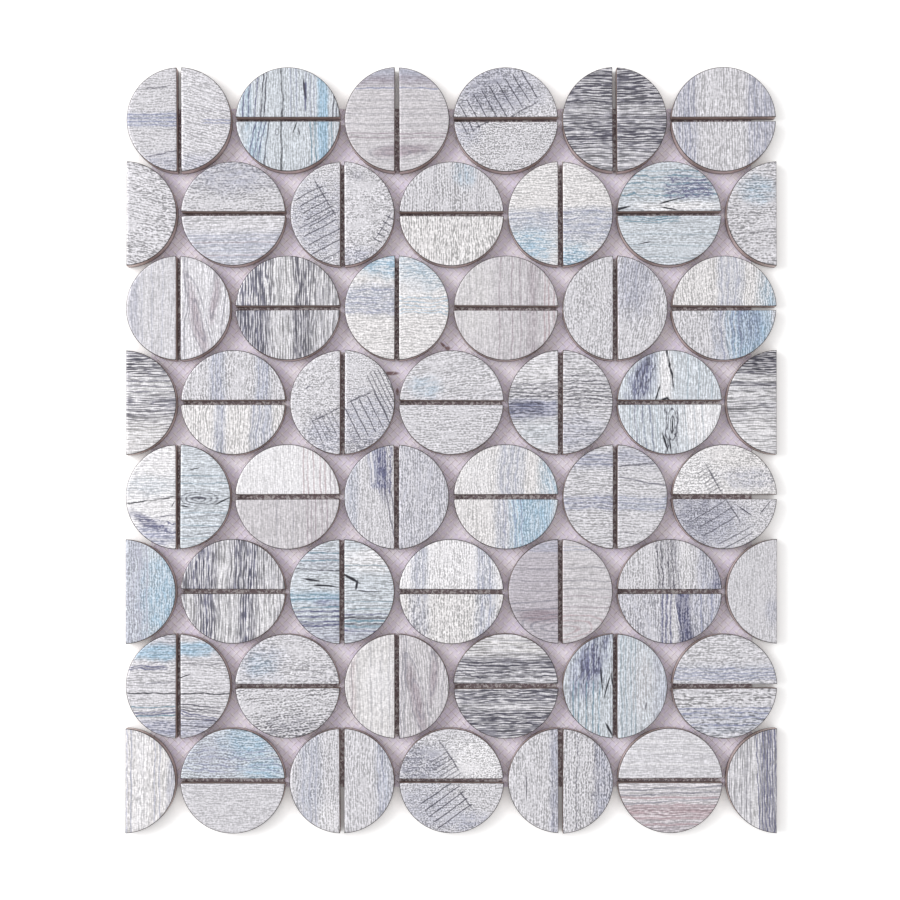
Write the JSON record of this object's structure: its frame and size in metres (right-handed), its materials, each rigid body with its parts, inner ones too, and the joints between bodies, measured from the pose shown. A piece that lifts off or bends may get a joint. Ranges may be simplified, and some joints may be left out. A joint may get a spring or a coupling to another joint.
{
  "type": "metal mosaic tile",
  "caption": "Flexible mosaic sheet of half-round aluminium chips with wood-grain prints, laid in pairs as split discs on a thin net backing.",
  "frame": {"origin": "centre of the sheet's outline, on the underside of the net backing", "axes": "+Z out of the printed face, +Y towards the top row, +X to the right as seen from the face"},
  "size_m": [0.2546, 0.2998, 0.0065],
  "materials": {
    "printed_aluminium": "satin print",
    "net_backing": "matte net"
  },
  "bodies": {
    "root": {"chip_row_1": "printed_aluminium", "chip_row_2": "printed_aluminium", "chip_row_3": "printed_aluminium", "chip_row_4": "printed_aluminium", "chip_row_5": "printed_aluminium", "chip_row_6": "printed_aluminium", "chip_row_7": "printed_aluminium", "chip_row_8": "printed_aluminium", "net_backing": "net_backing"}
  },
  "joints": []
}
